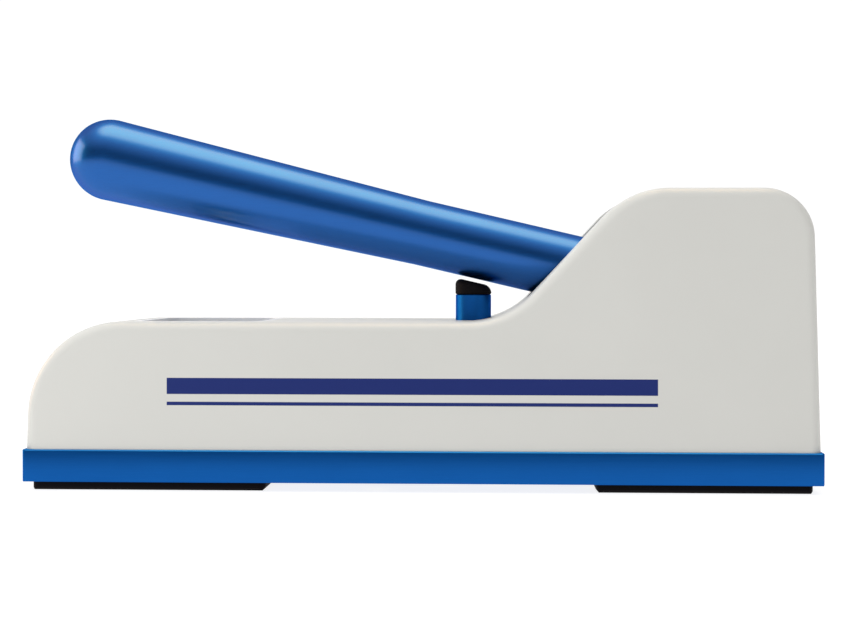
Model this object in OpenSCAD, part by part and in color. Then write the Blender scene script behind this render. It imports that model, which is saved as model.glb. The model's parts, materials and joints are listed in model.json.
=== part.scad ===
// Bench tablet crusher: a long lever, pivoted inside the tall end, drives a
// horizontal ram that closes two ribbed steel plates on a pouch in the deck.
// Frame: +Z up, +X towards the tall (pivot) end, Y across. The origin is the
// bottom centre, on the surface the feet stand on. Millimetres and degrees.

/* [Base plate] */
// Length of the base plate
plate_len = 271.2; // [268:0.1:274]
// Width of the base plate
plate_w = 80; // [76:1:90]
// Thickness of the base plate
plate_t = 11; // [10:0.1:13]
// Thickness of the rubber foot pads
foot_t = 3; // [2:0.1:4]

/* [Housing] */
// How far the base plate stands out past the housing all round
plate_lip = 0.8; // [0.8:0.05:1.5]
// Wall thickness of the housing
wall = 2.8; // [2:0.1:3.5]
// Height of the low deck above the table
deck_z = 57.5; // [55:0.5:60]
// Height of the tower above the table
tower_z = 103; // [100:0.5:108]
// Where the slope would meet the deck line
slope_foot_x = 29.1; // [27:0.1:31]
// Where the slope would meet the tower's top line
slope_head_x = 71.1; // [69:0.1:73]
// Lean of the front and rear walls
end_draft = 1.75; // [0:0.05:2.5]
// Radius of the front corner, seen from the side
front_r = 32.5; // [30:0.5:35]
// Radius of the hollow corner where the deck meets the slope
foot_r = 30; // [25:0.5:31]
// Radius of the corner between the slope and the tower's top
head_r = 29; // [25:0.5:30]
// Radius of the tower's rear top corner
rear_r = 17; // [12:0.5:18]

/* [Handle] */
// Tilt of the handle when it is down
handle_tilt = 13.13; // [12.5:0.01:13.5]
// Distance from the handle's foot point to the centre of its ball end
handle_reach = 199.5; // [185:0.5:201]
// Radius of the ball end
ball_r = 14.6; // [13:0.1:15]
// Radius of the straight part of the bar
neck_r = 11.68; // [11:0.02:11.8]
// Distance from the handle's foot point to where the bar starts to widen
neck_end = 84; // [60:1:100]
// How far the handle lifts
lift_angle = 43; // [30:1:43]

/* [Lever] */
// Pivot position along the machine
pivot_x = 70; // [69:0.5:71]
// Pivot height above the table
pivot_z = 24; // [24:0.1:24.4]
// Distance from the pivot to the handle's centre line
pivot_to_handle = 46.95; // [46.8:0.05:47.75]
// Distance from the pivot to the drive roller
crank_r = 14; // [12:0.1:14]

/* [Crushing plates] */
// Width of the crushing plates
jaw_w = 50; // [40:1:52]
// Thickness of the crushing plates
jaw_t = 5; // [4:0.5:5]
// Where the fixed plate's face stands
jaw_face_x = -92; // [-93:0.5:-91]
// Gap between the plates when the handle is down
jaw_gap = 0.4; // [0.2:0.1:0.6]

/* [Hidden] */
$fn = 64;

// ---- colours ----
blue = [0.06, 0.33, 0.65];
shell_white = [0.83, 0.83, 0.81];
rubber_black = [0.07, 0.07, 0.07];
insert_grey = [0.62, 0.63, 0.64];
steel = [0.62, 0.63, 0.65];
alloy = [0.78, 0.79, 0.80];
bronze = [0.72, 0.55, 0.30];
acetal = [0.93, 0.93, 0.90];

// ---- shared places ----
plate_corner = 1.5;
plate_edge = 0.4;
front_pad_x = [-133, -52.8];
rear_pad_x = [59.6, 132.5];
pad_in = 3;                                // from the base plate's long edges
pad_corner = 3;
pad_bevel = 0.9;
cut = 1;                                   // how far a cutting solid runs past a face
fit = 0.05;                                // running clearance on a radius or a face
plate_top = foot_t + plate_t;
shell_len = plate_len - 2 * plate_lip;
shell_w = plate_w - 2 * plate_lip;
deck_under = deck_z - wall;

// fixed and moving crushing plates, and the ram behind them
jaw_z0 = plate_top + 1.6;
jaw_z1 = 45.2;
anvil_t = 17;
anvil_nose = 7;                            // bevel on the anvil block's upper front edge
groove = 0.5;                              // depth of the grooves across the plates
groove_half = 0.5;                         // half of a groove's width at the face
groove_step = 2.4;
groove_margin = 9;                         // plain face below and above the grooves
jaw_back_x = jaw_face_x - jaw_t;
crush_x0 = jaw_face_x + jaw_gap;
head_x0 = crush_x0 + jaw_t;
head_t = 12;
bar_x0 = head_x0 + head_t;
strip_x = [jaw_face_x - 2, -58];           // the strip that the moving plate slides on
strip_half = 24;
strip_t = 1.2;
bar_half = 4.9;
bar_z0 = 33;
bar_z1 = 45;

// guide and stop post
post_x = 17.5;
post_r = 6.35;
post_hole_gap = 0.35;
post_top = 66.8;
cap_r = post_r + 0.1;
cap_top = 71.2;
guide_x0 = 2;
guide_x1 = 33;
guide_half = 20;
guide_top = 52.5;
slide_fit = 0.1;                           // between the ram bar and its liner
liner_wall = 1.95;
liner_flange = 1.5;                        // thickness and height of the liner's end flanges
liner_half = bar_half + slide_fit + liner_wall;
liner_z = [bar_z0 - slide_fit - liner_wall, bar_z1 + slide_fit + liner_wall];
spigot_r = 3;                              // the post's lower spigot, in the guide block
spigot_h = 4.8;
nipple_r = 3.5;                            // the post's upper nipple, in the rubber cap
nipple_h = 2;

// lever: the handle line's direction, its normal, and the foot of the pivot's normal on it
along = [-cos(handle_tilt), sin(handle_tilt)];
across = [sin(handle_tilt), cos(handle_tilt)];
pivot = [pivot_x, pivot_z];
foot_point = pivot + pivot_to_handle * across;
tenon_end = -9.5;
tenon_h = 8.5;
tenon_r = 3;
bar_root = 25;
bolt_at = [-1, 14];
bolt_r = 3;
bolt_fit = 0.1;
bolt_head_r = 5;
socket_r = 2.9;
nut_r = 5.77;
nut_h = 5;
cheek_in = 5.2;
cheek_out = 10.2;
cheek_r = 9.3;
hub_r = 8;
hub_fit = 0.3;                             // round the pin, which the spacer does not bear on
bush_r = 6;
pin_r = 4;
crank_lean = lift_angle / 2;
roller = pivot + crank_r * [-sin(crank_lean), cos(crank_lean)];
roller_r = 4.85;
roller_pin_r = 2.5;
roller_half = 4.7;
yoke_slot_half = 5;
yoke_wall = 6;
yoke_top = 50;
roller_top_gap = 0.4;                      // between the roller at its highest and the yoke's roof

// pivot blocks, pin and its clips
block_in = 11.3;
block_out = 23;
block_half_len = 14;
block_r = 10;
block_foot = 10;                           // height of a block's wide foot
washer_r = 8.5;
clip_t = 0.9;
clip_r = 6.8;
clip_gap = 0.1;
clip_mouth = 2.4;                          // half the opening of a clip
clip_seat_r = 3.2;                         // the pin's radius in the grooves of its clips
pin_tip = 2.6;                             // how far the pin stands out past its blocks

// screws
small_r = 2;                               // M4
large_r = 2.5;                             // M5
housing_screw_x = [-118, -15, 118];
housing_screw_y = 30;
housing_screw_grip = 14;                   // length of each screw in the part it holds
housing_boss_r = 4.6;
housing_boss_top = plate_top + 22;
housing_rib_half = 1.4;
anvil_screw_y = 11;
guide_screw_y = 13.5;
guide_screw_in = 6;                        // from the guide block's ends
block_screw_x = 9.5;                       // from the pivot
base_screw_grip = 10;
base_screw_spots = concat(
    [for (s = [-1, 1]) [jaw_back_x - anvil_t / 2, anvil_screw_y * s]],
    [for (x = [guide_x0 + guide_screw_in, guide_x1 - guide_screw_in], s = [-1, 1])
        [x, guide_screw_y * s]],
    [for (x = [-1, 1] * block_screw_x, s = [-1, 1]) [pivot_x + x, (block_in + block_out) / 2 * s]]
);
jaw_screw_y = 19;
jaw_screw_in = 6;                          // from the plates' upper and lower edges
jaw_screw_grip = 8;
jaw_screw_spots = [
    for (s = [-1, 1], z = [jaw_z0 + jaw_screw_in, jaw_z1 - jaw_screw_in]) [jaw_screw_y * s, z]
];
head_screw_r = 1.5;                        // M3
head_screw_z = [bar_z0 + 2.7, bar_z1 - 2.7];
head_screw_grip = 12;
tap_fit = 0.02;                            // round a screw or pin that is fixed in its bore
drill_fit = 0.15;                          // round a screw that passes through

// slot for the handle
slot_half = 13.5;
slot_x = [36.5, 92];
slot_z = 62;

// pouch insert
mouth_x = [-97.7, -56.5];
mouth_half = 29;
mouth_r = 6;
rim = 3;
rim_t = 1.1;
insert_wall = 1.8;
insert_gap = 0.15;
throat_x0 = jaw_face_x - 1.2;
throat_x1 = throat_x0 + 13.4;
throat_z = 46.8;

// ---- helpers ----
module box(x, y, z) {
    translate([x[0], y[0], z[0]])
        cube([x[1] - x[0], y[1] - y[0], z[1] - z[0]]);
}

// a prism across the machine, from an outline of [x, z] points
module across_prism(points, y) {
    translate([0, y[1], 0]) rotate([90, 0, 0])
        linear_extrude(y[1] - y[0]) polygon(points);
}

// a cylinder across the machine, centred on [x, z]
module rod(at, r, y) {
    translate([at[0], y[0], at[1]]) rotate([-90, 0, 0])
        cylinder(r = r, h = y[1] - y[0]);
}

// an upright prism whose plan is a rectangle with rounded corners
module rounded_prism(x, half, z, r) {
    translate([0, 0, z[0]])
        linear_extrude(z[1] - z[0]) polygon(padded([
            [x[0] + r, r - half], [x[0] + r, half - r], [x[1] - r, half - r], [x[1] - r, r - half]
        ], r));
}

// a slab with rounded plan corners and chamfered top and bottom edges
module slab(x, half, z, corner, top_c, bottom_c) {
    intersection() {
        rounded_prism(x, half, z, corner);
        across_prism(chamfered(x, z, top_c, bottom_c), [-half - cut, half + cut]);
        rotate([0, 0, 90])
            across_prism(chamfered([-half, half], z, top_c, bottom_c), [-x[1] - cut, -x[0] + cut]);
    }
}

function chamfered(a, z, top_c, bottom_c) = [
    [a[0], z[0] + bottom_c], [a[0], z[1] - top_c], [a[0] + top_c, z[1]], [a[1] - top_c, z[1]],
    [a[1], z[1] - top_c], [a[1], z[0] + bottom_c], [a[1] - bottom_c, z[0]], [a[0] + bottom_c, z[0]]
];

// a countersunk screw along +Z, head face at z = 0, with a hexagon socket
module flat_screw(r, len) {
    difference() {
        union() {
            cylinder(r1 = 2 * r, r2 = r, h = r);
            cylinder(r = r, h = len);
        }
        translate([0, 0, -cut])
            cylinder(r = 0.7 * r, h = cut + 0.9 * r, $fn = 6);
    }
}

// the hole that a countersunk screw sits in
module flat_screw_hole(r, len) {
    translate([0, 0, -cut]) cylinder(r = 2 * r + drill_fit, h = cut + 0.01);
    cylinder(r1 = 2 * r + drill_fit, r2 = r + drill_fit, h = r);
    cylinder(r = r + drill_fit, h = len);
}

// ---- housing outline ----
function unit(v) = v / norm(v);
function left_of(v) = [-v[1], v[0]];
function turned(v, a) = [v[0] * cos(a) - v[1] * sin(a), v[0] * sin(a) + v[1] * cos(a)];
function turn(a, b) =
    let (t = atan2(b[1], b[0]) - atan2(a[1], a[0]))
    t > 180 ? t - 360 : t < -180 ? t + 360 : t;

// [x, z, outward normal x, outward normal z] along one rounded corner of the outline
function corner(p, q, s, r, steps) =
    let (
        d1 = unit(q - p),
        bend = turn(d1, unit(s - q)),
        side = bend < 0 ? 1 : -1,
        n = left_of(d1),
        start = q - d1 * r * tan(abs(bend) / 2),
        centre = start - side * r * n
    )
    [
        for (i = [0 : steps])
            let (m = turned(n, bend * i / steps), a = centre + side * r * m)
            [a[0], a[1], m[0], m[1]]
    ];

// the outline of a flat bar around clockwise centres, r from each of them
function padded(centres, r, steps = 8) =
    let (n = len(centres))
    [
        for (i = [0 : n - 1])
            let (
                here = centres[i],
                d_in = unit(here - centres[(i + n - 1) % n]),
                bend = turn(d_in, unit(centres[(i + 1) % n] - here))
            )
            for (k = [0 : steps]) here + r * turned(left_of(d_in), bend * k / steps)
    ];

lean = tan(end_draft);
front = [-shell_len / 2, plate_top];
front_top = [-shell_len / 2 + (deck_z - plate_top) * lean, deck_z];
slope_foot = [slope_foot_x, deck_z];
slope_head = [slope_head_x, tower_z];
rear_top = [shell_len / 2 - (tower_z - plate_top) * lean, tower_z];
rear = [shell_len / 2, plate_top];

// the side outline of the housing, moved inwards by d; drop lowers its open bottom
function outline(d, drop) = [
    for (p = concat(
        [[front[0], front[1] - drop, -1, 0]],
        corner(front, front_top, slope_foot, front_r, 14),
        corner(front_top, slope_foot, slope_head, foot_r, 9),
        corner(slope_foot, slope_head, rear_top, head_r, 9),
        corner(slope_head, rear_top, rear, rear_r, 10),
        [[rear[0], rear[1] - drop, 1, 0]]
    )) [p[0] - d * p[2], p[1] - d * p[3]]
];

// an outline of the handle slot seen from above: straight sides and half-round ends
function slot_outline(x, half) = concat(
    [for (a = [-90 : 10 : 90]) [x[1] - half + half * cos(a), half * sin(a)]],
    [for (a = [90 : 10 : 270]) [x[0] + half + half * cos(a), half * sin(a)]]
);

// ---- fixed parts ----
module base_plate() {
    color(blue) difference() {
        slab([-plate_len / 2, plate_len / 2], plate_w / 2, [foot_t, plate_top],
            plate_corner, plate_edge, plate_edge);
        for (x = housing_screw_x, s = [-1, 1])
            translate([x, s * housing_screw_y, foot_t]) flat_screw_hole(small_r, plate_t + cut);
        for (p = base_screw_spots)
            translate([p[0], p[1], foot_t]) flat_screw_hole(large_r, plate_t + cut);
    }
}

module foot_pad(x) {
    color(rubber_black) slab(x, plate_w / 2 - pad_in, [0, foot_t], pad_corner, 0.1, pad_bevel);
}

module front_foot_pad() {
    foot_pad(front_pad_x);
}

module rear_foot_pad() {
    foot_pad(rear_pad_x);
}

// the slot that the handle swings up through, from the slope over the tower's top
module handle_slot() {
    translate([0, 0, slot_z])
        linear_extrude(tower_z + cut - slot_z) polygon(slot_outline(slot_x, slot_half));
}

module housing_boss(x, side) {
    wall_y = (shell_w - wall) / 2;
    boss_y = side > 0 ? [housing_screw_y, wall_y] : [-wall_y, -housing_screw_y];
    translate([x, side * housing_screw_y, plate_top])
        cylinder(r = housing_boss_r, h = housing_boss_top - plate_top);
    box([x - housing_rib_half, x + housing_rib_half], boss_y, [plate_top, housing_boss_top]);
}

module housing() {
    color(shell_white) difference() {
        union() {
            difference() {
                across_prism(outline(0, 0), [-shell_w / 2, shell_w / 2]);
                across_prism(outline(wall, cut), [wall - shell_w / 2, shell_w / 2 - wall]);
            }
            for (x = housing_screw_x, side = [-1, 1]) housing_boss(x, side);
        }
        for (x = housing_screw_x, s = [-1, 1])
            translate([x, s * housing_screw_y, plate_top - cut])
                cylinder(r = small_r + tap_fit, h = housing_screw_grip + 2 * cut);
        handle_slot();
        translate([post_x, 0, deck_under - cut])
            cylinder(r = post_r + post_hole_gap, h = wall + 2 * cut);
        insert_prism(rim + insert_gap, [deck_z - rim_t, deck_z + cut]);
        insert_prism(insert_wall + insert_gap, [deck_under - cut, deck_z]);
    }
}

module housing_screws() {
    color(steel) for (x = housing_screw_x, s = [-1, 1])
        translate([x, s * housing_screw_y, foot_t]) flat_screw(small_r, plate_t + housing_screw_grip);
}

// an upright prism round the mouth of the pouch insert, out past it by d
module insert_prism(d, z) {
    rounded_prism([mouth_x[0] - d, mouth_x[1] + d], mouth_half + d, z, mouth_r + d);
}

// the funnel's side outline, out past its inner faces by d, from the throat up to the mouth
function funnel(d, z) = [
    [mouth_x[0] - d, z[1]], [mouth_x[1] + d, z[1]], [mouth_x[1] + d, z[1] - 2],
    [throat_x1 + d, z[0]], [throat_x0 - d, z[0]], [mouth_x[0] - d, z[1] - 2]
];

module pouch_guide() {
    flare_z = deck_z - rim_t;
    past = [-mouth_half - rim, mouth_half + rim];
    color(insert_grey) difference() {
        union() {
            insert_prism(rim, [flare_z, deck_z]);
            intersection() {
                insert_prism(insert_wall, [throat_z - cut, deck_z - rim_t / 2]);
                across_prism(funnel(insert_wall, [throat_z, deck_z - rim_t / 2]), past);
            }
        }
        intersection() {
            insert_prism(0, [throat_z - 2, deck_z + cut]);
            across_prism(funnel(0, [throat_z, deck_z + cut]), past);
        }
        intersection() {
            insert_prism(0, [throat_z - cut, throat_z + cut]);
            box([throat_x0, throat_x1], past, [throat_z - cut, throat_z + cut]);
        }
    }
}

// screws through a crushing plate, along X; dir is the way they go in
module jaw_screws(face_x, dir) {
    for (p = jaw_screw_spots)
        translate([face_x, p[0], p[1]]) rotate([0, 90 * dir, 0])
            flat_screw(small_r, jaw_t + jaw_screw_grip);
}

module jaw_screw_holes(face_x, dir) {
    for (p = jaw_screw_spots)
        translate([face_x, p[0], p[1]]) rotate([0, 90 * dir, 0])
            flat_screw_hole(small_r, jaw_t + jaw_screw_grip + cut);
}

module anvil_block() {
    front_x = jaw_back_x - anvil_t;
    color(alloy) difference() {
        across_prism([
            [front_x, plate_top], [front_x, jaw_z1 - anvil_nose], [front_x + anvil_nose, jaw_z1],
            [jaw_back_x, jaw_z1], [jaw_back_x, plate_top]
        ], [-jaw_w / 2, jaw_w / 2]);
        jaw_screw_holes(jaw_face_x, -1);
        base_screw_bores();
    }
}

// a steel plate with shallow grooves across its working face, on the side that dir points to
module ribbed_plate(x, dir) {
    face = dir > 0 ? x[1] : x[0];
    difference() {
        box(x, [-jaw_w / 2, jaw_w / 2], [jaw_z0, jaw_z1]);
        for (z = [jaw_z0 + groove_margin : groove_step : jaw_z1 - groove_margin])
            across_prism([
                [face, z - groove_half], [face + groove * dir, z - groove_half],
                [face + groove * dir, z + groove_half], [face, z + groove_half], [face - groove * dir, z]
            ], [-jaw_w / 2 - cut, jaw_w / 2 + cut]);
        jaw_screw_holes(face, -dir);
    }
}

module anvil_plate() {
    color(steel) ribbed_plate([jaw_back_x, jaw_face_x], 1);
}

module anvil_plate_screws() {
    color(steel) jaw_screws(jaw_face_x, -1);
}

module slide_strip() {
    color(acetal) box(strip_x, [-strip_half, strip_half], [plate_top, plate_top + strip_t]);
}

module guide_block() {
    color(alloy) difference() {
        box([guide_x0, guide_x1], [-guide_half, guide_half], [plate_top, guide_top]);
        box([guide_x0 - cut, guide_x1 + cut], [-liner_half, liner_half], liner_z);
        translate([post_x, 0, liner_z[1] - cut])
            cylinder(r = spigot_r + tap_fit, h = guide_top - liner_z[1] + 2 * cut);
        base_screw_bores();
    }
}

module guide_liner() {
    bore_half = bar_half + slide_fit;
    color(acetal) difference() {
        union() {
            box([guide_x0, guide_x1], [fit - liner_half, liner_half - fit],
                [liner_z[0] + fit, liner_z[1] - fit]);
            for (x = [guide_x0 - liner_flange, guide_x1])
                box([x, x + liner_flange], [-liner_half - liner_flange, liner_half + liner_flange],
                    [liner_z[0] - liner_flange, liner_z[1] + liner_flange]);
        }
        box([guide_x0 - liner_flange - cut, guide_x1 + liner_flange + cut], [-bore_half, bore_half],
            [bar_z0 - slide_fit, bar_z1 + slide_fit]);
    }
}

// tapped bores for the screws that come up through the base plate
module base_screw_bores() {
    for (p = base_screw_spots)
        translate([p[0], p[1], plate_top - cut])
            cylinder(r = large_r + tap_fit, h = base_screw_grip + 2 * cut);
}

module base_screws() {
    color(steel) for (p = base_screw_spots)
        translate([p[0], p[1], foot_t]) flat_screw(large_r, plate_t + base_screw_grip);
}

module stop_post() {
    color(blue) translate([post_x, 0, 0]) union() {
        translate([0, 0, guide_top]) cylinder(r = post_r, h = post_top - guide_top);
        translate([0, 0, guide_top - spigot_h]) cylinder(r = spigot_r, h = spigot_h + cut);
        translate([0, 0, post_top - cut]) cylinder(r = nipple_r, h = nipple_h + cut);
    }
}

// the cap's top slopes with the handle
module bumper_cap() {
    color(rubber_black) translate([post_x, 0, 0]) difference() {
        translate([0, 0, post_top]) cylinder(r = cap_r, h = cap_top - post_top + cap_r);
        translate([0, 0, cap_top]) rotate([0, handle_tilt, 0])
            translate([-2 * cap_r, -2 * cap_r, 0]) cube(4 * cap_r);
        translate([0, 0, post_top - cut]) cylinder(r = nipple_r, h = nipple_h + cut);
    }
}

module pivot_block(y) {
    color(alloy) difference() {
        union() {
            box([pivot_x - block_half_len, pivot_x + block_half_len], y,
                [plate_top, plate_top + block_foot]);
            box([pivot_x - block_r, pivot_x + block_r], y, [plate_top, pivot_z]);
            rod(pivot, block_r, y);
        }
        rod(pivot, pin_r + tap_fit, [y[0] - cut, y[1] + cut]);
        base_screw_bores();
    }
}

module pivot_block_left() {
    pivot_block([-block_out, -block_in]);
}

module pivot_block_right() {
    pivot_block([block_in, block_out]);
}

// the pin is turned down at its two clip seats
module pivot_pin() {
    seat_out = block_out + clip_gap + clip_t + fit;
    color(steel) union() {
        rod(pivot, pin_r, [-block_out - fit, block_out + fit]);
        rod(pivot, clip_seat_r, [-block_out - pin_tip, block_out + pin_tip]);
        rod(pivot, pin_r, [seat_out, block_out + pin_tip]);
        rod(pivot, pin_r, [-block_out - pin_tip, -seat_out]);
    }
}

module pivot_clips() {
    inner = block_out + clip_gap;
    past = [-inner - clip_t - cut, inner + clip_t + cut];
    color(steel) difference() {
        union() {
            rod(pivot, clip_r, [inner, inner + clip_t]);
            rod(pivot, clip_r, [-inner - clip_t, -inner]);
        }
        rod(pivot, clip_seat_r + tap_fit, past);
        box([pivot_x - clip_mouth, pivot_x + clip_mouth], past, [pivot_z - clip_r - cut, pivot_z]);
    }
}

module thrust_washers() {
    color(bronze) difference() {
        union() {
            rod(pivot, washer_r, [cheek_out + fit, block_in - fit]);
            rod(pivot, washer_r, [fit - block_in, -cheek_out - fit]);
        }
        rod(pivot, pin_r + fit, [-block_in - cut, block_in + cut]);
    }
}

// ---- lever ----
// a place on the handle's centre line, s from the foot point towards the ball
function on_handle(s) = foot_point + s * along;

module lever_plate(y) {
    bolts = [for (s = bolt_at) on_handle(s)];
    past = [y[0] - cut, y[1] + cut];
    color(steel) difference() {
        across_prism(padded([pivot, roller, bolts[1], bolts[0]], cheek_r), y);
        rod(pivot, bush_r + tap_fit, past);
        rod(roller, roller_pin_r + tap_fit, past);
        for (b = bolts) rod(b, bolt_r + bolt_fit, past);
    }
}

module lever_plate_left() {
    lever_plate([-cheek_out, -cheek_in]);
}

module lever_plate_right() {
    lever_plate([cheek_in, cheek_out]);
}

module lever_spacer() {
    color(alloy) difference() {
        rod(pivot, hub_r, [fit - cheek_in, cheek_in - fit]);
        rod(pivot, pin_r + hub_fit, [-cheek_in - cut, cheek_in + cut]);
    }
}

module pivot_bushes() {
    color(bronze) difference() {
        union() {
            rod(pivot, bush_r, [cheek_in, cheek_out]);
            rod(pivot, bush_r, [-cheek_out, -cheek_in]);
        }
        rod(pivot, pin_r + fit, [-cheek_out - cut, cheek_out + cut]);
    }
}

// half of the bar's outline, [radius, distance from the foot point]: straight, then
// widening in a line that meets the ball without a step
module handle_bar() {
    tenon_half = cheek_in - fit;
    slope = asin((ball_r - neck_r) / (handle_reach - neck_end));
    joint_r = neck_r / cos(slope);
    side = concat(
        [[0, bar_root], [joint_r, bar_root], [joint_r, neck_end]],
        [for (a = [-slope : (90 + slope) / 14 : 89.9]) [ball_r * cos(a), handle_reach + ball_r * sin(a)]],
        [[0, handle_reach + ball_r]]
    );
    tenon = [
        [tenon_r - tenon_h, tenon_end + tenon_r], [tenon_r - tenon_h, bar_root + tenon_r],
        [tenon_h - tenon_r, bar_root + tenon_r], [tenon_h - tenon_r, tenon_end + tenon_r]
    ];
    color(blue) translate([foot_point[0], 0, foot_point[1]]) rotate([0, handle_tilt - 90, 0])
        difference() {
            union() {
                rotate_extrude() polygon(side);
                across_prism(padded(tenon, tenon_r, 4), [-tenon_half, tenon_half]);
            }
            for (s = bolt_at) rod([0, s], bolt_r + bolt_fit, [-tenon_half - cut, tenon_half + cut]);
        }
}

module handle_bolts() {
    head_h = 6;
    socket_h = 3;
    shank = 2 * cheek_out + nut_h + 1.5;
    color(steel) for (s = bolt_at)
        let (p = on_handle(s))
        translate([p[0], -cheek_out, p[1]]) rotate([-90, 0, 0]) difference() {
            union() {
                cylinder(r = bolt_r, h = shank);
                translate([0, 0, -head_h]) cylinder(r = bolt_head_r, h = head_h);
            }
            translate([0, 0, -head_h - cut]) cylinder(r = socket_r, h = socket_h + cut, $fn = 6);
        }
}

module handle_nuts() {
    color(steel) for (s = bolt_at)
        let (p = on_handle(s))
        translate([p[0], cheek_out, p[1]]) rotate([-90, 0, 0]) difference() {
            cylinder(r = nut_r, h = nut_h, $fn = 6);
            translate([0, 0, -cut]) cylinder(r = bolt_r + tap_fit, h = nut_h + 2 * cut);
        }
}

module roller_pin() {
    color(steel) rod(roller, roller_pin_r, [-cheek_out, cheek_out]);
}

module drive_roller() {
    color(steel) difference() {
        rod(roller, roller_r, [-roller_half, roller_half]);
        rod(roller, roller_pin_r + fit, [-roller_half - cut, roller_half + cut]);
    }
}

// ---- ram ----
module ram_bar() {
    yoke_x = [roller[0] - yoke_slot_half - yoke_wall, roller[0] + yoke_slot_half + yoke_wall];
    color(alloy) difference() {
        union() {
            box([bar_x0, yoke_x[1]], [-bar_half, bar_half], [bar_z0, bar_z1]);
            box(yoke_x, [-bar_half, bar_half], [bar_z0, yoke_top]);
        }
        box([roller[0] - yoke_slot_half, roller[0] + yoke_slot_half], [-bar_half - cut, bar_half + cut],
            [bar_z0 - cut, pivot_z + crank_r + roller_r + roller_top_gap]);
        for (z = head_screw_z)
            translate([bar_x0 - cut, 0, z]) rotate([0, 90, 0])
                cylinder(r = head_screw_r + tap_fit, h = head_screw_grip + 2 * cut);
    }
}

module ram_head() {
    color(alloy) difference() {
        box([head_x0, bar_x0], [-jaw_w / 2, jaw_w / 2], [plate_top + strip_t + 2 * fit, jaw_z1]);
        for (z = head_screw_z)
            translate([head_x0, 0, z]) rotate([0, 90, 0]) flat_screw_hole(head_screw_r, head_t + cut);
        jaw_screw_holes(crush_x0, 1);
    }
}

module ram_head_screws() {
    color(steel) for (z = head_screw_z)
        translate([head_x0, 0, z]) rotate([0, 90, 0]) flat_screw(head_screw_r, head_t + head_screw_grip);
}

module crush_plate() {
    color(steel) ribbed_plate([crush_x0, head_x0], -1);
}

module crush_plate_screws() {
    color(steel) jaw_screws(crush_x0, 1);
}

base_plate();
front_foot_pad();
rear_foot_pad();
housing();
housing_screws();
pouch_guide();
anvil_block();
anvil_plate();
anvil_plate_screws();
slide_strip();
guide_block();
guide_liner();
base_screws();
stop_post();
bumper_cap();
pivot_block_left();
pivot_block_right();
pivot_pin();
pivot_clips();
thrust_washers();
handle_bar();
lever_plate_left();
lever_plate_right();
lever_spacer();
pivot_bushes();
handle_bolts();
handle_nuts();
roller_pin();
drive_roller();
ram_bar();
ram_head();
ram_head_screws();
crush_plate();
crush_plate_screws();
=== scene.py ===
import json
import math

import bmesh
import bpy
from mathutils import Matrix, Vector


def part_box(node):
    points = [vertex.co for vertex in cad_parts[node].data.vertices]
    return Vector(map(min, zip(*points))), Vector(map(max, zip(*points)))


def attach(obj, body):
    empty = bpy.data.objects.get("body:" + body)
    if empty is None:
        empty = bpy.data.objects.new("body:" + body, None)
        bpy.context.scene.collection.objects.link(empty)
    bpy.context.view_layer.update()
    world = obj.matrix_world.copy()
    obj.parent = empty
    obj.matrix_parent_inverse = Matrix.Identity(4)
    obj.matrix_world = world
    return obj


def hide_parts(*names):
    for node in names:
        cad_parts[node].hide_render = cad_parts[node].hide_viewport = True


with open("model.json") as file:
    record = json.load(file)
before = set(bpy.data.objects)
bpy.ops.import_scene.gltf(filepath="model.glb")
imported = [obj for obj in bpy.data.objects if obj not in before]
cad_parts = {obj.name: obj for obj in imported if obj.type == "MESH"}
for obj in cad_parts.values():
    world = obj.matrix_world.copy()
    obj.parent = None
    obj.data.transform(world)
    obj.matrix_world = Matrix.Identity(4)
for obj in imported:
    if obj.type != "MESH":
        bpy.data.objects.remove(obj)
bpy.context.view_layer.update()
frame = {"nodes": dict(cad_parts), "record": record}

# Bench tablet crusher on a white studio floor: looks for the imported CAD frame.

MM = 0.001

# ---------------------------------------------------------------- camera
CAMERA_AT = Vector((25.7, -611.5, 71.0)) * MM
CAMERA_YAW = math.radians(2.347)
CAMERA_PITCH = math.radians(1.27)
CAMERA_ROLL = math.radians(0.07)
CAMERA_LENS = 71.8


def make_camera():
    data = bpy.data.cameras.new("camera")
    data.lens = CAMERA_LENS
    data.sensor_width = 36.0
    data.clip_start = 0.01
    camera = bpy.data.objects.new("camera", data)
    bpy.context.scene.collection.objects.link(camera)
    turn = Matrix.Rotation(CAMERA_YAW, 4, "Z")
    tilt = Matrix.Rotation(math.radians(90) - CAMERA_PITCH, 4, "X")
    roll = Matrix.Rotation(CAMERA_ROLL, 4, "Z")
    camera.matrix_world = Matrix.Translation(CAMERA_AT) @ turn @ tilt @ roll
    bpy.context.scene.camera = camera


# ---------------------------------------------------------------- places, from the frame
HOUSING_LO, HOUSING_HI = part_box("housing")
POST_LO, POST_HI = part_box("stop_post")
CAP_LO, CAP_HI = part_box("bumper_cap")
HANDLE_LO, HANDLE_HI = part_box("handle_bar")
INSERT_LO, INSERT_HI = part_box("pouch_guide")

WALL = 2.8 * MM
DECK_Z = INSERT_HI.z
TOWER_Z = HOUSING_HI.z
FLOOR_Z = HOUSING_LO.z                     # the housing's open bottom, on the base plate
HALF_WIDTH = HOUSING_HI.y
SLOPE_FOOT_X = 29.1 * MM
SLOPE_HEAD_X = 71.1 * MM
END_DRAFT = math.radians(1.75)
SIDE_DRAFT = math.radians(0.8)
EDGE_R = 3.6 * MM
DECK_FRONT_R = 32.5 * MM                   # the side outline's rounded corners, from the deck's end
SLOPE_FOOT_R = 30 * MM
SLOPE_HEAD_R = 29 * MM
TOWER_REAR_R = 17 * MM
SLOT_X = (36.5 * MM, 92 * MM)              # the slot that the handle swings through
SLOT_HALF = 13.5 * MM
SLOT_LOW_Z = 62 * MM
POST_HOLE_GAP = 0.35 * MM
HANDLE_TILT = math.radians(13.13)
BALL_R = HANDLE_HI.y
BALL_CENTRE = Vector((HANDLE_LO.x + BALL_R, 0, HANDLE_HI.z - BALL_R))
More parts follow.
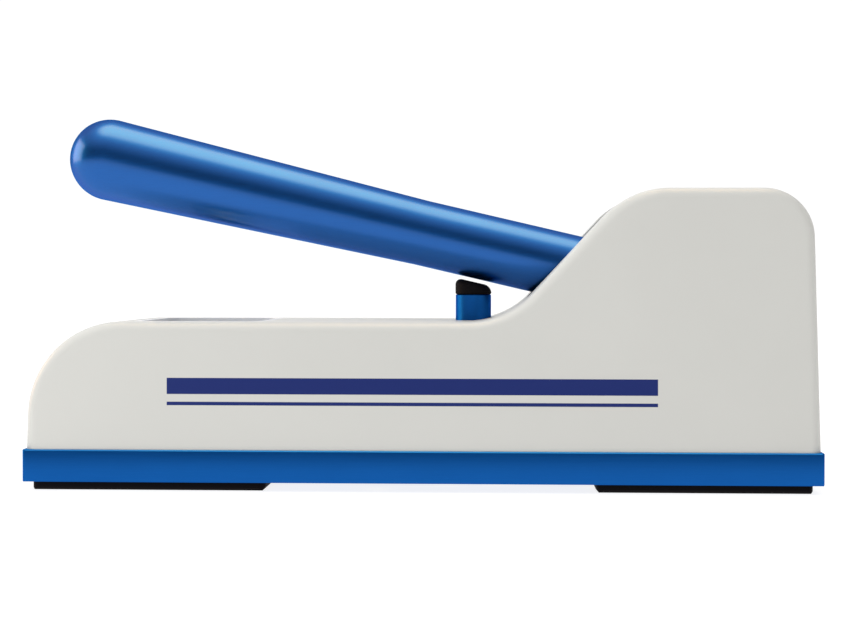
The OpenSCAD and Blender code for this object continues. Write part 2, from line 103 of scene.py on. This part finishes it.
NECK_R = 11.68 * MM
BALL_TO_NECK = 115.5 * MM                  # from the ball's centre to where the bar stops narrowing
BALL_TO_ROOT = 174.5 * MM                  # from the ball's centre to the tenon's shoulder
BALL_TO_TENON_END = 209 * MM
ROOT_CHAMFER = 0.6 * MM
TENON_HALF_HEIGHT = 8.5 * MM
TENON_HALF_THICK = 5.15 * MM
TENON_CORNER_R = 0.5 * MM
TENON_SUNK = 6 * MM                        # how far the tenon's solid reaches into the bar
SPIGOT_R = 3 * MM                          # the post's lower spigot
SPIGOT_H = 4.8 * MM
NIPPLE_R = 3.5 * MM                        # the post's upper nipple, in the cap
POST_CHAMFER = 0.4 * MM
CAP_TOP_Z = 71.2 * MM                      # on the cap's axis
CAP_RIM_R = 2.5 * MM
CAP_FOOT_CHAMFER = 0.3 * MM
RIM = 3 * MM                               # the pouch insert's flange round its mouth
RIM_T = 1.1 * MM
INSERT_WALL = 1.8 * MM
MOUTH_R = 6 * MM
GAP = 0.15 * MM                            # between the insert and the housing
OPENING_BREAK = 0.35 * MM                  # the broken edge round each of the housing's openings


# ---------------------------------------------------------------- mesh helpers
MESH_MERGE = 0.0001 * MM                   # points of a mesh made here closer than this are one point
CAD_MERGE = 0.002 * MM                     # the same for a CAD mesh
FLAT_ANGLE = math.radians(0.8)             # faces of a CAD mesh that turn less than this are one face


def new_object(name, mesh):
    piece = bpy.data.objects.new(name, mesh)
    bpy.context.scene.collection.objects.link(piece)
    return piece


def mesh_from(name, points, faces):
    mesh = bpy.data.meshes.new(name)
    mesh.from_pydata([tuple(p) for p in points], [], faces)
    mesh.validate()
    work = bmesh.new()
    work.from_mesh(mesh)
    bmesh.ops.remove_doubles(work, verts=work.verts, dist=MESH_MERGE)
    bmesh.ops.recalc_face_normals(work, faces=work.faces)
    work.to_mesh(mesh)
    work.free()
    return mesh


def ring_faces(rings, size):
    """Quads between rings of equal size, with the first and last ring closed by a face."""
    faces = []
    for g in range(rings - 1):
        for j in range(size):
            k = (j + 1) % size
            faces.append((g * size + j, (g + 1) * size + j, (g + 1) * size + k, g * size + k))
    faces.append(tuple(range(size)))
    faces.append(tuple((rings - 1) * size + j for j in reversed(range(size))))
    return faces


def apply_modifiers(piece):
    graph = bpy.context.evaluated_depsgraph_get()
    mesh = bpy.data.meshes.new_from_object(piece.evaluated_get(graph))
    piece.modifiers.clear()
    piece.data = mesh


def cut_with(piece, cutters):
    for cutter in cutters:
        modifier = piece.modifiers.new("cut", "BOOLEAN")
        modifier.operation = "DIFFERENCE"
        modifier.solver = "EXACT"
        modifier.object = cutter
        apply_modifiers(piece)
        bpy.data.objects.remove(cutter)


def join_with(piece, other):
    modifier = piece.modifiers.new("join", "BOOLEAN")
    modifier.operation = "UNION"
    modifier.solver = "EXACT"
    modifier.object = other
    apply_modifiers(piece)
    bpy.data.objects.remove(other)


def soften(piece, width, angle=35):
    """Rounds the edges that are sharper than angle."""
    modifier = piece.modifiers.new("soften", "BEVEL")
    modifier.width = width
    modifier.segments = 2
    modifier.limit_method = "ANGLE"
    modifier.angle_limit = math.radians(angle)
    apply_modifiers(piece)


def smooth(piece, angle=30):
    piece.data.shade_smooth()
    piece.data.set_sharp_from_angle(angle=math.radians(angle))


def prism_up(name, outline, low, high):
    size = len(outline)
    points = [(x, y, z) for z in (low, high) for x, y in outline]
    return new_object(name, mesh_from(name, points, ring_faces(2, size)))


def lathe(name, profile, steps, place):
    """Turns [radius, height] points round +Z; the first and last radius may be 0."""
    points = []
    for r, h in profile:
        for i in range(steps):
            a = 2 * math.pi * i / steps
            points.append(place @ Vector((r * math.cos(a), r * math.sin(a), h)))
    return new_object(name, mesh_from(name, points, ring_faces(len(profile), steps)))


def along_line(start, end, steps):
    """Points on the way from start to end, without the start itself."""
    return [tuple(a + (b - a) * i / steps for a, b in zip(start, end)) for i in range(1, steps + 1)]


# ---------------------------------------------------------------- housing
def unit(v):
    return v / v.length


def corner_arc(before, at, after, radius, steps):
    """(point, outward normal) pairs along a rounded corner of the side outline."""
    way_in = unit(at - before)
    way_out = unit(after - at)
    bend = math.atan2(way_in.x * way_out.y - way_in.y * way_out.x, way_in.dot(way_out))
    side = 1 if bend < 0 else -1
    normal = Vector((-way_in.y, way_in.x))
    start = at - way_in * radius * math.tan(abs(bend) / 2)
    centre = start - side * radius * normal
    pairs = []
    for i in range(steps + 1):
        turned = Matrix.Rotation(bend * i / steps, 2) @ normal
        pairs.append((centre + side * radius * turned, turned))
    return pairs


def side_outline(drop=0.0):
    """The housing's outline from the side, with its open bottom carried down by drop."""
    lean = math.tan(END_DRAFT)
    half = HOUSING_HI.x
    front = Vector((-half, FLOOR_Z))
    front_top = Vector((-half + (DECK_Z - FLOOR_Z) * lean, DECK_Z))
    slope_foot = Vector((SLOPE_FOOT_X, DECK_Z))
    slope_head = Vector((SLOPE_HEAD_X, TOWER_Z))
    rear_top = Vector((half - (TOWER_Z - FLOOR_Z) * lean, TOWER_Z))
    rear = Vector((half, FLOOR_Z))
    down = Vector((0, drop))
    pairs = [(front - down, Vector((-1, 0)))]
    pairs += corner_arc(front, front_top, slope_foot, DECK_FRONT_R, 40)
    pairs += corner_arc(front_top, slope_foot, slope_head, SLOPE_FOOT_R, 24)
    pairs += corner_arc(slope_foot, slope_head, rear_top, SLOPE_HEAD_R, 24)
    pairs += corner_arc(slope_head, rear_top, rear, TOWER_REAR_R, 28)
    pairs.append((rear - down, Vector((1, 0))))
    return pairs


def shell(name, inset, edge_r, steps, drop=0.0):
    """A solid with the housing's side outline, moved in by inset, with rounded long edges."""
    line = side_outline(drop)
    angles = [0.5 * math.pi * i / steps for i in range(steps + 1)]
    half = HALF_WIDTH - inset
    edge = [(inset + edge_r * (1 - math.cos(a)), half - edge_r * (1 - math.sin(a))) for a in angles]
    rings = [(d, -1, y) for d, y in reversed(edge)] + [(d, 1, y) for d, y in edge]
    points = []
    for d, side, y in rings:
        for p, n in line:
            z = p.y - d * n.y
            points.append((p.x - d * n.x, side * (y - (z - FLOOR_Z) * math.tan(SIDE_DRAFT)), z))
    return new_object(name, mesh_from(name, points, ring_faces(len(rings), len(line))))


def box_outline(x0, x1, half, radius, steps=6):
    """A rectangle with rounded corners, seen from above."""
    points = []
    for cx, cy, start in ((x1, half, 0), (x0, half, 90), (x0, -half, 180), (x1, -half, 270)):
        centre = Vector((cx - radius if cx == x1 else cx + radius, cy - math.copysign(radius, cy)))
        for i in range(steps + 1):
            a = math.radians(start + 90 * i / steps)
            points.append((centre.x + radius * math.cos(a), centre.y + radius * math.sin(a)))
    return points


def slot_outline(x0, x1, half, steps=24):
    """A slot with round ends, seen from above."""
    points = []
    for cx, start in ((x1 - half, -90), (x0 + half, 90)):
        for i in range(steps + 1):
            a = math.radians(start + 180 * i / steps)
            points.append((cx + half * math.cos(a), half * math.sin(a)))
    return points


def circle_outline(x, radius, steps=48):
    return [
        (x + radius * math.cos(2 * math.pi * i / steps), radius * math.sin(2 * math.pi * i / steps))
        for i in range(steps)
    ]


def insert_outline(out):
    """The pouch insert's mouth seen from above, out past it by the given distance."""
    grow = out - RIM
    return box_outline(INSERT_LO.x - grow, INSERT_HI.x + grow, INSERT_HI.y + grow, MOUTH_R + out)


def make_housing():
    piece = shell("housing_shell", 0.0, EDGE_R, 7)
    hollow = shell("hollow", WALL, 1.0 * MM, 2, drop=1 * MM)
    post_x = (POST_LO.x + POST_HI.x) / 2
    post_r = (POST_HI.x - POST_LO.x) / 2
    above = TOWER_Z + 10 * MM
    below = DECK_Z - 2 * WALL
    cut_with(piece, [
        hollow,
        prism_up("slot", slot_outline(*SLOT_X, SLOT_HALF), SLOT_LOW_Z, above),
        prism_up("post_hole", circle_outline(post_x, post_r + POST_HOLE_GAP), below, above),
        prism_up("recess", insert_outline(RIM + GAP), DECK_Z - RIM_T, above),
        prism_up("well", insert_outline(INSERT_WALL + GAP), below, above),
    ])
    soften(piece, OPENING_BREAK, angle=40)
    smooth(piece, 30)
    return piece


# ---------------------------------------------------------------- handle, post and cap
def handle_place():
    """From the handle's own frame, +Z from the tenon towards the ball, origin at the ball's centre."""
    return Matrix.Translation(BALL_CENTRE) @ Matrix.Rotation(HANDLE_TILT - math.radians(90), 4, "Y")


def make_handle():
    taper = math.asin((BALL_R - NECK_R) / BALL_TO_NECK)
    ball_steps = 32
    profile = [
        (0.0, -BALL_TO_ROOT), (NECK_R - ROOT_CHAMFER, -BALL_TO_ROOT), (NECK_R, ROOT_CHAMFER - BALL_TO_ROOT),
    ]
    profile += along_line(profile[-1], (NECK_R, -BALL_TO_NECK), 12)
    profile += along_line(profile[-1], (BALL_R * math.cos(taper), -BALL_R * math.sin(taper)), 24)
    for i in range(1, ball_steps + 1):
        a = -taper + (math.pi / 2 + taper) * i / ball_steps
        profile.append((BALL_R * math.cos(a), BALL_R * math.sin(a)))
    piece = lathe("handle_grip", profile, 96, handle_place())
    outline = box_outline(-TENON_HALF_HEIGHT, TENON_HALF_HEIGHT, TENON_HALF_THICK, TENON_CORNER_R, 3)
    tenon = prism_up("tenon", outline, -BALL_TO_TENON_END, TENON_SUNK - BALL_TO_ROOT)
    tenon.data.transform(handle_place())
    join_with(piece, tenon)
    smooth(piece, 30)
    return piece


def make_post():
    r = (POST_HI.x - POST_LO.x) / 2
    shoulder = POST_LO.z + SPIGOT_H
    top = CAP_LO.z
    profile = [
        (0, POST_LO.z), (SPIGOT_R, POST_LO.z), (SPIGOT_R, shoulder), (r - POST_CHAMFER, shoulder),
        (r, shoulder + POST_CHAMFER), (r, top - POST_CHAMFER), (r - POST_CHAMFER, top), (NIPPLE_R, top),
        (NIPPLE_R, POST_HI.z), (0, POST_HI.z),
    ]
    place = Matrix.Translation(Vector(((POST_LO.x + POST_HI.x) / 2, 0, 0)))
    piece = lathe("stop_post_turned", profile, 72, place)
    smooth(piece, 30)
    return piece


def make_cap():
    """A rubber cap whose top slopes with the handle, with a well rounded rim."""
    centre = (CAP_LO.x + CAP_HI.x) / 2
    r = (CAP_HI.x - CAP_LO.x) / 2
    lean = math.tan(HANDLE_TILT)
    steps = 72
    rim_steps = 8
    rows = [(r - CAP_FOOT_CHAMFER, CAP_LO.z, 0.0), (r, CAP_LO.z + CAP_FOOT_CHAMFER, 0.0)]
    for i in range(rim_steps + 1):
        a = 0.5 * math.pi * i / rim_steps
        rows.append((r - CAP_RIM_R * (1 - math.cos(a)), CAP_TOP_Z - CAP_RIM_R * (1 - math.sin(a)), lean))
    rows += [(r * share, CAP_TOP_Z, lean) for share in (0.55, 0.3, 0.1)]
    points = []
    for radius, height, slope in rows:
        for i in range(steps):
            a = 2 * math.pi * i / steps
            x = radius * math.cos(a)
            points.append((centre + x, radius * math.sin(a), height - x * slope))
    mesh = mesh_from("bumper_cap", points, ring_faces(len(rows), steps))
    piece = new_object("bumper_cap_moulded", mesh)
    smooth(piece, 40)
    return piece


def softened_copy(node, name, width):
    """The CAD node's shape with its sharp edges broken, as a machined or moulded edge is."""
    mesh = frame["nodes"][node].data.copy()
    work = bmesh.new()
    work.from_mesh(mesh)
    bmesh.ops.remove_doubles(work, verts=work.verts, dist=CAD_MERGE)
    bmesh.ops.dissolve_limit(work, angle_limit=FLAT_ANGLE, verts=work.verts, edges=work.edges)
    work.to_mesh(mesh)
    work.free()
    piece = new_object(name, mesh)
    soften(piece, width)
    smooth(piece, 30)
    return piece


# ---------------------------------------------------------------- material helpers
def start_material(name):
    material = bpy.data.materials.new(name)
    material.use_nodes = True
    nodes = material.node_tree.nodes
    nodes.clear()
    out = nodes.new("ShaderNodeOutputMaterial")
    shader = nodes.new("ShaderNodeBsdfPrincipled")
    material.node_tree.links.new(shader.outputs["BSDF"], out.inputs["Surface"])
    return material, shader


class Graph:
    """Short words for building a node tree."""

    def __init__(self, owner):
        self.tree = owner.node_tree

    def node(self, kind, **settings):
        made = self.tree.nodes.new(kind)
        for key, value in settings.items():
            if key.startswith("in_"):
                made.inputs[key[3:].replace("_", " ")].default_value = value
            else:
                setattr(made, key, value)
        return made

    def link(self, a, b):
        self.tree.links.new(a, b)

    def place(self, scale=(1, 1, 1), turn=(0, 0, 0)):
        """Object coordinates, in metres, turned and scaled."""
        where = self.node("ShaderNodeTexCoord")
        mapping = self.node("ShaderNodeMapping")
        mapping.inputs["Scale"].default_value = scale
        mapping.inputs["Rotation"].default_value = turn
        self.link(where.outputs["Object"], mapping.inputs["Vector"])
        return mapping.outputs["Vector"]

    def noise(self, place, scale, detail=4.0, roughness=0.6):
        made = self.node("ShaderNodeTexNoise")
        made.inputs["Scale"].default_value = scale
        made.inputs["Detail"].default_value = detail
        made.inputs["Roughness"].default_value = roughness
        self.link(place, made.inputs["Vector"])
        return made.outputs["Fac"]

    def span(self, value, low, high, out_low, out_high):
        made = self.node("ShaderNodeMapRange")
        made.inputs["From Min"].default_value = low
        made.inputs["From Max"].default_value = high
        made.inputs["To Min"].default_value = out_low
        made.inputs["To Max"].default_value = out_high
        self.link(value, made.inputs["Value"])
        return made.outputs["Result"]

    def mix(self, factor, a, b):
        made = self.node("ShaderNodeMix", data_type="RGBA")
        for key, value in (("A", a), ("B", b)):
            socket = [s for s in made.inputs if s.name == key and s.type == "RGBA"][0]
            if isinstance(value, (tuple, list)):
                socket.default_value = (*value[:3], 1.0)
            else:
                self.link(value, socket)
        self.link(factor, made.inputs["Factor"])
        return [s for s in made.outputs if s.type == "RGBA"][0]

    def math(self, kind, a, b=None):
        made = self.node("ShaderNodeMath", operation=kind)
        for i, value in enumerate((a, b)):
            if value is None:
                continue
            if isinstance(value, (int, float)):
                made.inputs[i].default_value = value
            else:
                self.link(value, made.inputs[i])
        return made.outputs["Value"]

    def bump(self, shader, height, strength, distance, under=None):
        made = self.node("ShaderNodeBump")
        made.inputs["Strength"].default_value = strength
        made.inputs["Distance"].default_value = distance
        self.link(height, made.inputs["Height"])
        if under is not None:
            self.link(under, made.inputs["Normal"])
        self.link(made.outputs["Normal"], shader.inputs["Normal"])
        return made.outputs["Normal"]


# ---------------------------------------------------------------- materials
BLUE = (0.006, 0.106, 0.405)
BLUE_DEEP = (0.005, 0.092, 0.355)
HOUSING_COLOR = (0.658, 0.655, 0.622)
PRINT_COLOR = (0.011, 0.024, 0.15)

# printed trim on each side of the housing: one long bar over a thin line
PRINT_X = (-86 * MM, 80 * MM)
BAR_Z = (33.0 * MM, 38.5 * MM)
LINE_Z = (29.2 * MM, 30.4 * MM)
PRINT_SOFT = 0.04 * MM                     # half the width over which the ink's edge fades
PRINT_BAND = 2 * MM                        # only a surface this near the full width takes ink


def blue_anodised(name, seal, turn=(0, 0, 0)):
    """Satin blue anodised aluminium with a fine grain drawn along the piece.

    seal is how strong the clear sealed skin over the dye is, seen straight on.
    """
    material, shader = start_material(name)
    g = Graph(material)
    along = g.place((60, 2600, 2600), turn)
    grain = g.noise(along, 1.0, 3.0, 0.7)
    cloud = g.noise(g.place(), 38.0, 3.0)
    speckle = g.noise(g.place(), 5200.0, 2.0)
    tone = g.math("ADD", g.math("MULTIPLY", grain, 0.5), g.math("MULTIPLY", speckle, 0.5))
    color = g.mix(g.span(tone, 0.35, 0.65, 0.0, 1.0), BLUE_DEEP, BLUE)
    g.link(color, shader.inputs["Base Color"])
    shader.inputs["Metallic"].default_value = 1.0
    rough = g.math("ADD", g.span(cloud, 0.3, 0.7, 0.31, 0.36), g.span(grain, 0.3, 0.7, -0.02, 0.03))
    g.link(rough, shader.inputs["Roughness"])
    shader.inputs["Specular Tint"].default_value = (0.15, 0.45, 0.80, 1.0)
    facing = g.node("ShaderNodeLayerWeight", in_Blend=0.5).outputs["Facing"]
    g.link(g.span(facing, 0.45, 0.85, seal, 0.0), shader.inputs["Coat Weight"])
    shader.inputs["Coat Roughness"].default_value = 0.18
    shader.inputs["Coat IOR"].default_value = 1.5
    under = g.bump(shader, grain, 0.10, 0.00004)
    g.bump(shader, speckle, 0.06, 0.00003, under)
    return material


def print_mask(g):
    """1 inside the printed stripes on the housing's two sides."""
    where = g.node("ShaderNodeTexCoord")
    split = g.node("ShaderNodeSeparateXYZ")
    g.link(where.outputs["Object"], split.inputs["Vector"])
    x = split.outputs["X"]
    z = split.outputs["Z"]

    def inside(value, low, high):
        up = g.span(value, low - PRINT_SOFT, low + PRINT_SOFT, 0.0, 1.0)
        down = g.span(value, high - PRINT_SOFT, high + PRINT_SOFT, 1.0, 0.0)
        return g.math("MULTIPLY", up, down)

    heights = g.math("MAXIMUM", inside(z, *BAR_Z), inside(z, *LINE_Z))
    stripes = g.math("MULTIPLY", inside(x, *PRINT_X), heights)
    side = g.math("GREATER_THAN", g.math("ABSOLUTE", split.outputs["Y"]), HALF_WIDTH - PRINT_BAND)
    return g.math("MULTIPLY", stripes, side)


def housing_plastic():
    """Satin light grey moulded plastic: fine spark grain, faint flow clouds, printed trim."""
    material, shader = start_material("housing_plastic")
    g = Graph(material)
    cloud = g.noise(g.place(), 14.0, 4.0)
    grain = g.noise(g.place(), 2600.0, 2.0)
    darker = tuple(c * 0.985 for c in HOUSING_COLOR)
    lighter = tuple(c * 1.015 for c in HOUSING_COLOR)
    base = g.mix(g.span(cloud, 0.3, 0.7, 0.0, 1.0), darker, lighter)
    g.link(g.mix(print_mask(g), base, PRINT_COLOR), shader.inputs["Base Color"])
    g.link(g.span(cloud, 0.3, 0.7, 0.34, 0.42), shader.inputs["Roughness"])
    shader.inputs["Specular IOR Level"].default_value = 0.22
    g.bump(shader, grain, 0.10, 0.00005)
    return material


def black_rubber():
    material, shader = start_material("black_rubber")
    g = Graph(material)
    cloud = g.noise(g.place(), 160.0, 4.0)
    grain = g.noise(g.place(), 3000.0, 3.0)
    g.link(g.mix(cloud, (0.003, 0.003, 0.004), (0.009, 0.007, 0.008)), shader.inputs["Base Color"])
    g.link(g.span(cloud, 0.3, 0.7, 0.52, 0.72), shader.inputs["Roughness"])
    shader.inputs["Specular IOR Level"].default_value = 0.05
    g.bump(shader, grain, 0.25, 0.00008)
    return material


def insert_plastic():
    material, shader = start_material("insert_plastic")
    g = Graph(material)
    cloud = g.noise(g.place(), 60.0, 3.0)
    grain = g.noise(g.place(), 2200.0, 2.0)
    g.link(g.mix(cloud, (0.72, 0.725, 0.73), (0.78, 0.785, 0.79)), shader.inputs["Base Color"])
    g.link(g.span(cloud, 0.3, 0.7, 0.45, 0.58), shader.inputs["Roughness"])
    g.bump(shader, grain, 0.18, 0.00006)
    return material


def bare_metal(name, dark, light, rough, scale):
    """Milled or brushed bare metal: long fine scratches and soft patches of wear."""
    material, shader = start_material(name)
    g = Graph(material)
    scratch = g.noise(g.place(scale), 1.0, 5.0, 0.7)
    cloud = g.noise(g.place(), 90.0, 4.0)
    tone = g.math("ADD", g.math("MULTIPLY", scratch, 0.6), g.math("MULTIPLY", cloud, 0.4))
    g.link(g.mix(g.span(tone, 0.3, 0.7, 0.0, 1.0), dark, light), shader.inputs["Base Color"])
    g.link(g.span(tone, 0.3, 0.7, rough - 0.07, rough + 0.08), shader.inputs["Roughness"])
    shader.inputs["Metallic"].default_value = 1.0
    g.bump(shader, scratch, 0.12, 0.00005)
    return material


def white_acetal():
    material, shader = start_material("white_acetal")
    g = Graph(material)
    cloud = g.noise(g.place(), 70.0, 3.0)
    g.link(g.mix(cloud, (0.78, 0.78, 0.74), (0.86, 0.86, 0.83)), shader.inputs["Base Color"])
    g.link(g.span(cloud, 0.3, 0.7, 0.30, 0.42), shader.inputs["Roughness"])
    g.bump(shader, g.noise(g.place((40, 1800, 1800)), 1.0), 0.08, 0.00004)
    return material


# ---------------------------------------------------------------- floor and light
FLOOR_HALF = 14.0                          # metres
FLOOR_GLOW = 0.85                          # the floor is lit from below, like a light table

# the room; each edge is a span of heights above the horizon, as the sine of the angle
DOME_EDGE = (0.30, 0.90)                   # the wide soft light for matt surfaces fades in over this
DOME_LIT = 1.62
SOFTBOX_EDGE = (0.88, 0.95)                # the softbox that shows in reflections
SOFTBOX_SEEN = 2.7
SOFTBOX_TINT = (1.90, 1.24, 0.60)
WALL_EDGE = (0.33, 0.87)                   # the walls brighten over this
WALL_TURN = (-0.15, 0.35)                  # from the front wall to the back wall, the sine towards the back
FRONT_WALL = 0.16
BACK_WALL = 0.75
UPPER_WALL = 1.1
BACKDROP = 1.05                            # white, as the camera sees it


def make_floor():
    corners = ((-1, -1), (1, -1), (1, 1), (-1, 1))
    points = [(FLOOR_HALF * x, FLOOR_HALF * y, 0) for x, y in corners]
    floor = new_object("floor", mesh_from("floor", points, [(0, 1, 2, 3)]))
    material, shader = start_material("floor_paper")
    g = Graph(material)
    cloud = g.noise(g.place(), 3.0, 3.0)
    g.link(g.mix(cloud, (0.24, 0.24, 0.24), (0.26, 0.26, 0.26)), shader.inputs["Base Color"])
    shader.inputs["Emission Color"].default_value = (1, 1, 1, 1)
    shader.inputs["Emission Strength"].default_value = FLOOR_GLOW
    shader.inputs["Roughness"].default_value = 0.9
    shader.inputs["Specular IOR Level"].default_value = 0.1
    floor.data.materials.append(material)


def make_world():
    """A white room: a wide soft dome and, for reflections, a softbox overhead and a dim wall in front."""
    world = bpy.data.worlds.new("studio")
    bpy.context.scene.world = world
    world.use_nodes = True
    world.node_tree.nodes.clear()
    g = Graph(world)
    where = g.node("ShaderNodeTexCoord")
    split = g.node("ShaderNodeSeparateXYZ")
    g.link(where.outputs["Generated"], split.inputs["Vector"])
    height = split.outputs["Z"]
    softbox = g.span(height, *SOFTBOX_EDGE, 0.0, 1.0)
    wall = g.span(split.outputs["Y"], *WALL_TURN, FRONT_WALL, BACK_WALL)
    room = g.math("MAXIMUM", wall, g.span(height, *WALL_EDGE, 0.0, UPPER_WALL))
    seen = g.node("ShaderNodeBackground", in_Color=(1, 1, 1, 1), in_Strength=BACKDROP)
    reflected = g.node("ShaderNodeBackground")
    g.link(g.mix(softbox, (1, 1, 1), SOFTBOX_TINT), reflected.inputs["Color"])
    g.link(g.math("ADD", room, g.math("MULTIPLY", softbox, SOFTBOX_SEEN)), reflected.inputs["Strength"])
    dome = g.node("ShaderNodeBackground", in_Color=(1, 1, 1, 1))
    g.link(g.span(height, *DOME_EDGE, 0.0, DOME_LIT), dome.inputs["Strength"])
    ray = g.node("ShaderNodeLightPath")
    lit = g.node("ShaderNodeMixShader")
    g.link(ray.outputs["Is Glossy Ray"], lit.inputs["Fac"])
    g.link(dome.outputs["Background"], lit.inputs[1])
    g.link(reflected.outputs["Background"], lit.inputs[2])
    choose = g.node("ShaderNodeMixShader")
    g.link(ray.outputs["Is Camera Ray"], choose.inputs["Fac"])
    g.link(lit.outputs["Shader"], choose.inputs[1])
    g.link(seen.outputs["Background"], choose.inputs[2])
    out = g.node("ShaderNodeOutputWorld")
    g.link(choose.outputs["Shader"], out.inputs["Surface"])


def area_light(name, at, target, size, power):
    """A soft panel at a place, facing a target; it lights matt surfaces and stays out of reflections."""
    data = bpy.data.lights.new(name, "AREA")
    data.shape = "RECTANGLE"
    data.size, data.size_y = size
    data.energy = power
    light = bpy.data.objects.new(name, data)
    light.location = at
    light.rotation_euler = (Vector(target) - Vector(at)).to_track_quat("-Z", "Y").to_euler()
    light.visible_camera = False
    light.visible_glossy = False
    bpy.context.scene.collection.objects.link(light)
    return light


SIDE_TINT = (1.0, 0.62, 0.36)              # the panel whose reflection stands on the handle's ball end


def make_lights():
    area_light("front_fill", (-0.5, -0.6, 0.2), (0, 0, 0.05), (0.5, 0.5), 1.6)
    area_light("high_left_fill", (-1.2, -0.1, 1.0), (0.02, 0, 0.07), (1.0, 1.0), 4.0)
    area_light("back_fill", (-0.25, 0.8, 0.6), (-0.06, 0, 0.06), (0.8, 0.6), 4.5)
    side_panel = area_light("side_panel", (-1.03, 0.15, 0.36), (-0.11, 0, 0.11), (0.7, 0.55), 6.5)
    side_panel.data.color = SIDE_TINT
    side_panel.visible_glossy = True
    side_panel.visible_diffuse = False


# ---------------------------------------------------------------- build
BODY_OF = {n: b for b, members in frame["record"]["behaviour"]["bodies"].items() for n in members}
SLOT_OF = {s["node"]: s["material_slot"] for s in frame["record"]["subparts"]}


def paint(piece, material):
    piece.data.materials.clear()
    piece.data.materials.append(material)


def fit_piece(piece, node, material):
    """Puts a piece in the place of its CAD node: on the same body, painted with the given material, with
    the node hidden.
    """
    body = BODY_OF[node]
    paint(piece, material)
    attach(piece, body)
    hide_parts(node)


make_camera()
bpy.context.scene.view_settings.view_transform = "Standard"

FINISHES = {
    "blue_anodised": blue_anodised("blue_anodised", 0.05),
    "housing_plastic": housing_plastic(),
    "black_rubber": black_rubber(),
    "insert_plastic": insert_plastic(),
    "plain_aluminium": bare_metal(
        "plain_aluminium", (0.62, 0.63, 0.65), (0.78, 0.79, 0.80), 0.36, (90, 1500, 1500)),
    "brushed_steel": bare_metal(
        "brushed_steel", (0.42, 0.43, 0.44), (0.62, 0.62, 0.63), 0.30, (1500, 60, 1500)),
    "fastener_steel": bare_metal(
        "fastener_steel", (0.38, 0.38, 0.39), (0.58, 0.58, 0.59), 0.28, (900, 900, 900)),
    "bearing_bronze": bare_metal(
        "bearing_bronze", (0.46, 0.29, 0.12), (0.62, 0.42, 0.20), 0.34, (900, 900, 900)),
    "white_acetal": white_acetal(),
}
HANDLE_BLUE = blue_anodised("blue_anodised_handle", 0.5, turn=(0, HANDLE_TILT, 0))

fit_piece(make_housing(), "housing", FINISHES["housing_plastic"])
fit_piece(make_handle(), "handle_bar", HANDLE_BLUE)
fit_piece(make_post(), "stop_post", FINISHES["blue_anodised"])
fit_piece(make_cap(), "bumper_cap", FINISHES["black_rubber"])

# how wide the broken edges of each node are, in mm
SOFTENED = {
    "base_plate": 0.25, "front_foot_pad": 0.4, "rear_foot_pad": 0.4, "pouch_guide": 0.3,
    "anvil_block": 0.4, "anvil_plate": 0.15, "crush_plate": 0.15, "ram_head": 0.4, "ram_bar": 0.4,
    "guide_block": 0.5, "pivot_block_left": 0.4, "pivot_block_right": 0.4,
    "lever_plate_left": 0.4, "lever_plate_right": 0.4,
}
for node, width in SOFTENED.items():
    fit_piece(softened_copy(node, node + "_finished", width * MM), node, FINISHES[SLOT_OF[node]])

for node, cad in frame["nodes"].items():
    paint(cad, FINISHES[SLOT_OF[node]])

make_floor()
make_world()
make_lights()
